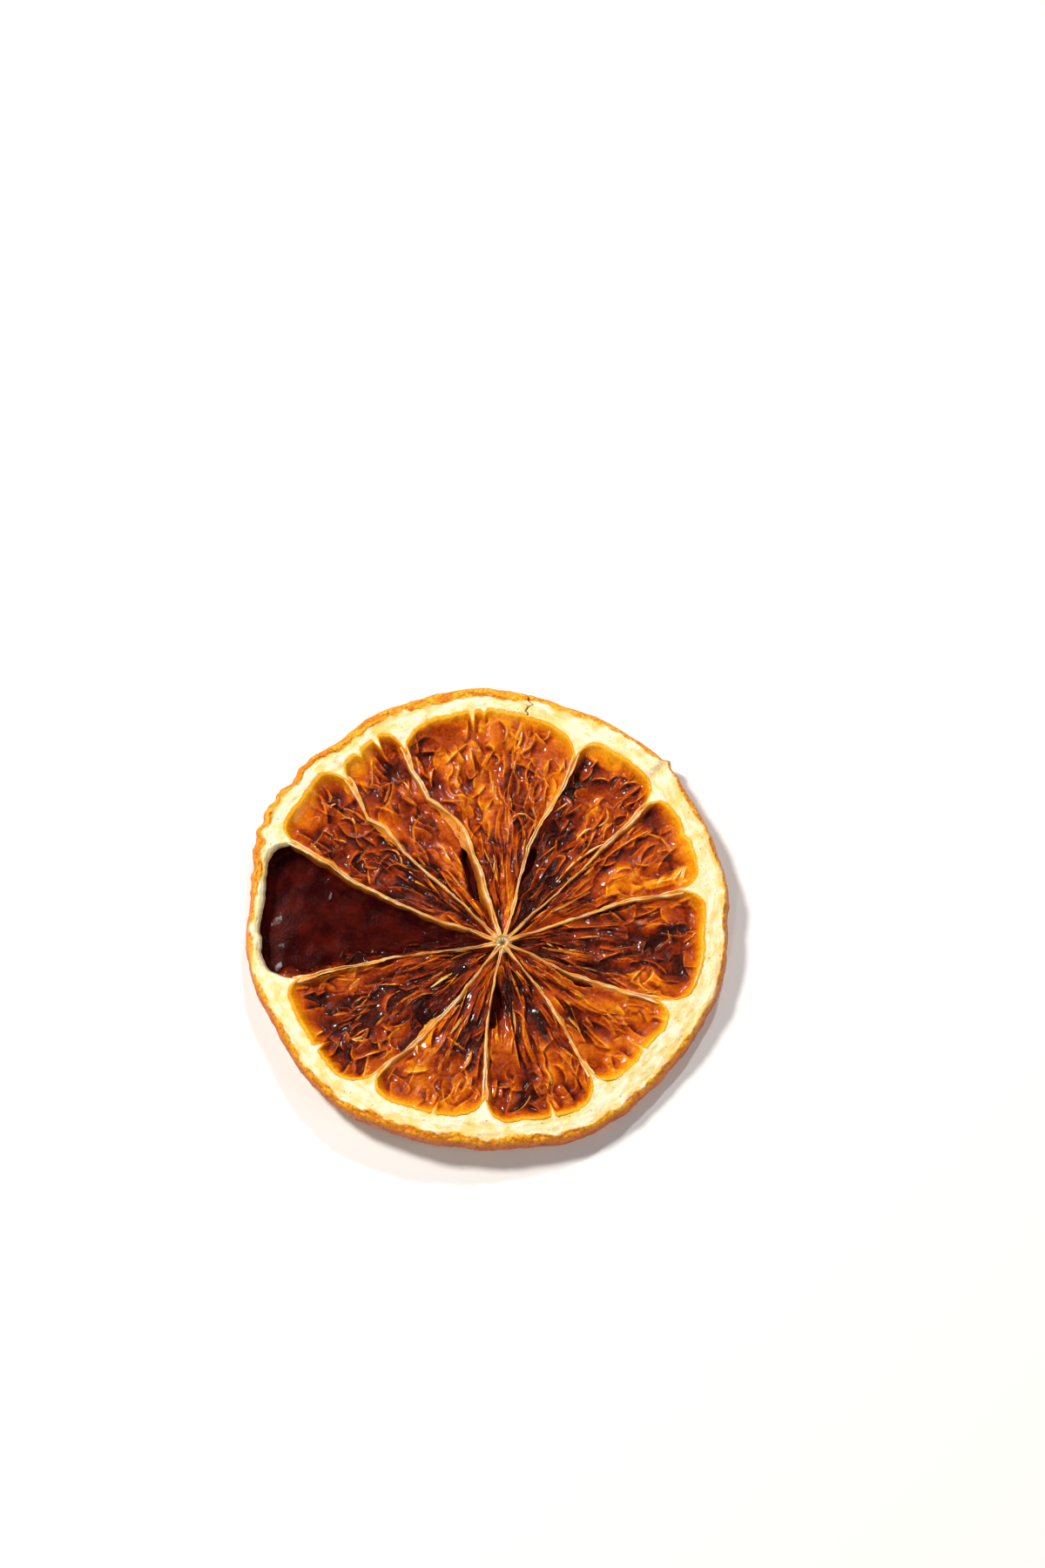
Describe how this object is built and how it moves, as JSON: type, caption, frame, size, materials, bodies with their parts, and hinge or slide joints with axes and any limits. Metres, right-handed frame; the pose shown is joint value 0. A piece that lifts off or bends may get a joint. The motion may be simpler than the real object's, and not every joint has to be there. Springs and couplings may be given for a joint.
{
  "type": "dried orange slice",
  "caption": "Round dried orange slice: pale pith and peel ring, thin walls, shrunken amber pulp, slightly warped, lying cut face up.",
  "frame": {"origin": "middle of the bounding box at its lowest height, on the surface that the slice lies on", "axes": "+Z out of the shown cut face, +Y towards the widest stretch of pith, +X to the right of it seen from above"},
  "size_m": [0.0646, 0.0644, 0.0057],
  "materials": {
    "dried_orange_slice": "dry, slightly glossy amber pulp inside a matt cream pith and an orange peel"
  },
  "bodies": {
    "root": {"dried_orange_slice": "dried_orange_slice"}
  },
  "joints": []
}
